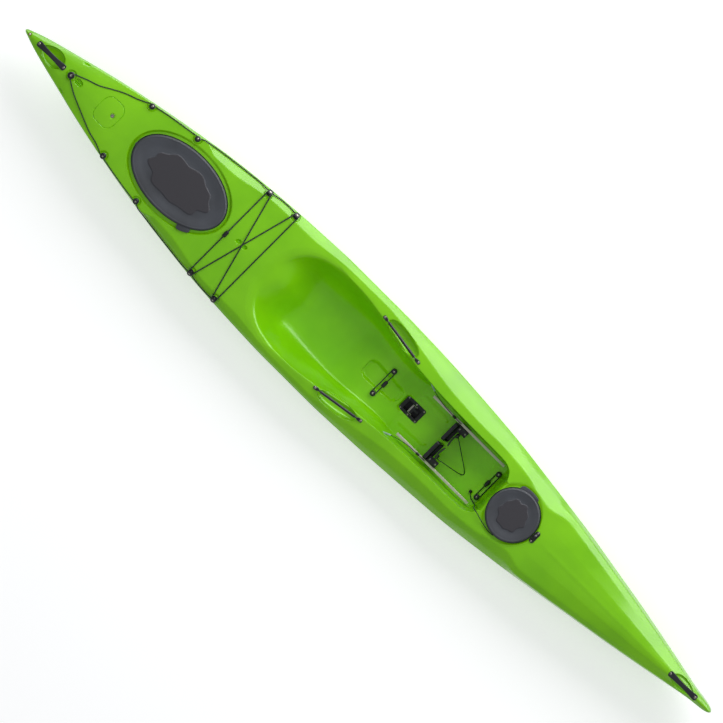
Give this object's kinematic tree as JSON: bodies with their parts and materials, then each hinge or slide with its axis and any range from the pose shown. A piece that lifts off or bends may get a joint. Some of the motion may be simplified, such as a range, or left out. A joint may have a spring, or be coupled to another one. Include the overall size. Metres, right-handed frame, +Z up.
{
  "type": "surfski",
  "caption": "Sit-on-top surfski with a seat bucket, adjustable rudder pedals, stowage hatches with lift-off covers, deck lines, bungees and a steered rudder.",
  "frame": {"origin": "amidships on the centreline, on the ground line under the flat of the keel", "axes": "+X to the bow, +Y to port, +Z up"},
  "size_m": [4.35, 0.59, 0.338],
  "materials": {
    "green_polyethylene": "rotomoulded, semi-gloss",
    "hatch_rubber": "dull",
    "black_nylon": "moulded satin",
    "handle_rubber": "satin",
    "black_cord": "braided",
    "anodised_aluminium": "anodised",
    "stainless_steel": "bright",
    "blade_nylon": "moulded satin",
    "clear_tube": "milky clear",
    "brass": "plain"
  },
  "bodies": {
    "boat": {"hull": "green_polyethylene", "stern_tip_bush": "brass", "stern_handle": "handle_rubber", "stern_handle_aft_screw": "stainless_steel", "stern_handle_fore_screw": "stainless_steel", "bow_handle": "handle_rubber", "bow_handle_aft_screw": "stainless_steel", "bow_handle_fore_screw": "stainless_steel", "port_side_handle_strap": "handle_rubber", "starboard_side_handle_strap": "handle_rubber", "stern_hatch_rim": "black_nylon", "bow_hatch_rim": "black_nylon", "hatch_leash": "black_cord", "bow_pad_eye": "black_nylon", "stern_fitting": "black_nylon", "port_aft_fitting": "black_nylon", "starboard_aft_fitting": "black_nylon", "port_hatch_fitting": "black_nylon", "starboard_hatch_fitting": "black_nylon", "port_bungee_aft_fitting": "black_nylon", "starboard_bungee_aft_fitting": "black_nylon", "port_bungee_fore_fitting": "black_nylon", "starboard_bungee_fore_fitting": "black_nylon", "port_deck_line": "black_cord", "starboard_deck_line": "black_cord", "stern_bungee": "black_cord", "bottle_bungee": "black_cord", "bottle_port_fitting": "black_nylon", "bottle_starboard_fitting": "black_nylon", "footwell_bungee": "black_cord", "footwell_port_fitting": "black_nylon", "footwell_starboard_fitting": "black_nylon", "bailer_frame": "black_nylon", "port_foot_rail": "anodised_aluminium", "starboard_foot_rail": "anodised_aluminium", "pedal_elastic": "black_cord", "port_rudder_line": "black_cord", "starboard_rudder_line": "black_cord", "port_rudder_tube": "clear_tube", "starboard_rudder_tube": "clear_tube", "rudder_bush": "black_nylon", "rudder_cover": "green_polyethylene", "rudder_cover_bolt": "stainless_steel"},
    "rudder": {"rudder_blade": "blade_nylon", "rudder_tiller": "black_nylon"},
    "port_pedal": {"port_pedal_carriage": "black_nylon", "port_footplate": "black_nylon"},
    "starboard_pedal": {"starboard_pedal_carriage": "black_nylon", "starboard_footplate": "black_nylon"},
    "port_toe": {"port_toe_pedal": "black_nylon"},
    "starboard_toe": {"starboard_toe_pedal": "black_nylon"},
    "stern_cover": {"stern_hatch_cover": "hatch_rubber"},
    "bow_cover": {"bow_hatch_cover": "hatch_rubber"},
    "flap": {"bailer_flap": "black_nylon"},
    "lever": {"bailer_lever": "stainless_steel"},
    "port_grip": {"port_side_handle_grip": "black_nylon"},
    "starboard_grip": {"starboard_side_handle_grip": "black_nylon"},
    "stern_bead": {"stern_bungee_toggle": "black_nylon"},
    "bottle_bead": {"bottle_bungee_toggle": "black_nylon"},
    "footwell_bead": {"footwell_bungee_toggle": "black_nylon"}
  },
  "joints": [
    {"name": "rudder_steer", "type": "hinge", "parent": "boat", "child": "rudder", "pos_m": [-1.65518, 0, 0.1], "axis": [0, 0, 1], "range_deg": [-30, 30], "deforming": ["port_rudder_line", "starboard_rudder_line"]},
    {"name": "port_carriage_slide", "type": "slide", "parent": "boat", "child": "port_pedal", "axis": [1, 0, 0], "range_m": [-0.12, 0.12], "deforming": ["port_rudder_line", "pedal_elastic"]},
    {"name": "starboard_carriage_slide", "type": "slide", "parent": "boat", "child": "starboard_pedal", "axis": [1, 0, 0], "range_m": [-0.12, 0.12], "deforming": ["starboard_rudder_line", "pedal_elastic"]},
    {"name": "port_toe_tilt", "type": "hinge", "parent": "port_pedal", "child": "port_toe", "pos_m": [0.49175, 0.067, 0.141], "axis": [0, 1, 0], "range_deg": [-15, 15], "deforming": ["pedal_elastic"]},
    {"name": "starboard_toe_tilt", "type": "hinge", "parent": "starboard_pedal", "child": "starboard_toe", "pos_m": [0.49175, -0.067, 0.141], "axis": [0, 1, 0], "range_deg": [-15, 15], "deforming": ["pedal_elastic"]},
    {"name": "stern_hatch_lift", "type": "slide", "parent": "boat", "child": "stern_cover", "axis": [0, 0, 1], "range_m": [0, 0.15]},
    {"name": "bow_hatch_lift", "type": "slide", "parent": "boat", "child": "bow_cover", "axis": [0, 0, 1], "range_m": [0, 0.12], "deforming": ["hatch_leash"]},
    {"name": "bailer_flap_swing", "type": "hinge", "parent": "boat", "child": "flap", "pos_m": [0.29418, 0, 0.005], "axis": [0, -1, 0], "range_deg": [0, 20]},
    {"name": "bailer_lever_swing", "type": "hinge", "parent": "boat", "child": "lever", "pos_m": [0.27418, 0, 0.07386], "axis": [0, 1, 0], "range_deg": [0, 60]},
    {"name": "port_grip_spin", "type": "hinge", "parent": "boat", "child": "port_grip", "pos_m": [0.0083, 0.20448, 0.27407], "axis": [0.988, -0.1537, 0.016], "continuous": true},
    {"name": "starboard_grip_spin", "type": "hinge", "parent": "boat", "child": "starboard_grip", "pos_m": [0.0083, -0.20448, 0.27407], "axis": [0.988, 0.1537, 0.016], "continuous": true},
    {"name": "stern_bead_slide", "type": "slide", "parent": "boat", "child": "stern_bead", "axis": [0, 1, 0], "range_m": [-0.01, 0.01]},
    {"name": "bottle_bead_slide", "type": "slide", "parent": "boat", "child": "bottle_bead", "axis": [0, 1, 0], "range_m": [-0.025, 0.025]},
    {"name": "footwell_bead_slide", "type": "slide", "parent": "boat", "child": "footwell_bead", "axis": [0, 1, 0], "range_m": [-0.025, 0.025]}
  ],
  "couplings": [
    {"joint": "port_toe_tilt", "follows": "rudder_steer", "ratio": -0.5},
    {"joint": "starboard_toe_tilt", "follows": "rudder_steer", "ratio": 0.5},
    {"joint": "bailer_lever_swing", "follows": "bailer_flap_swing", "ratio": 3}
  ]
}
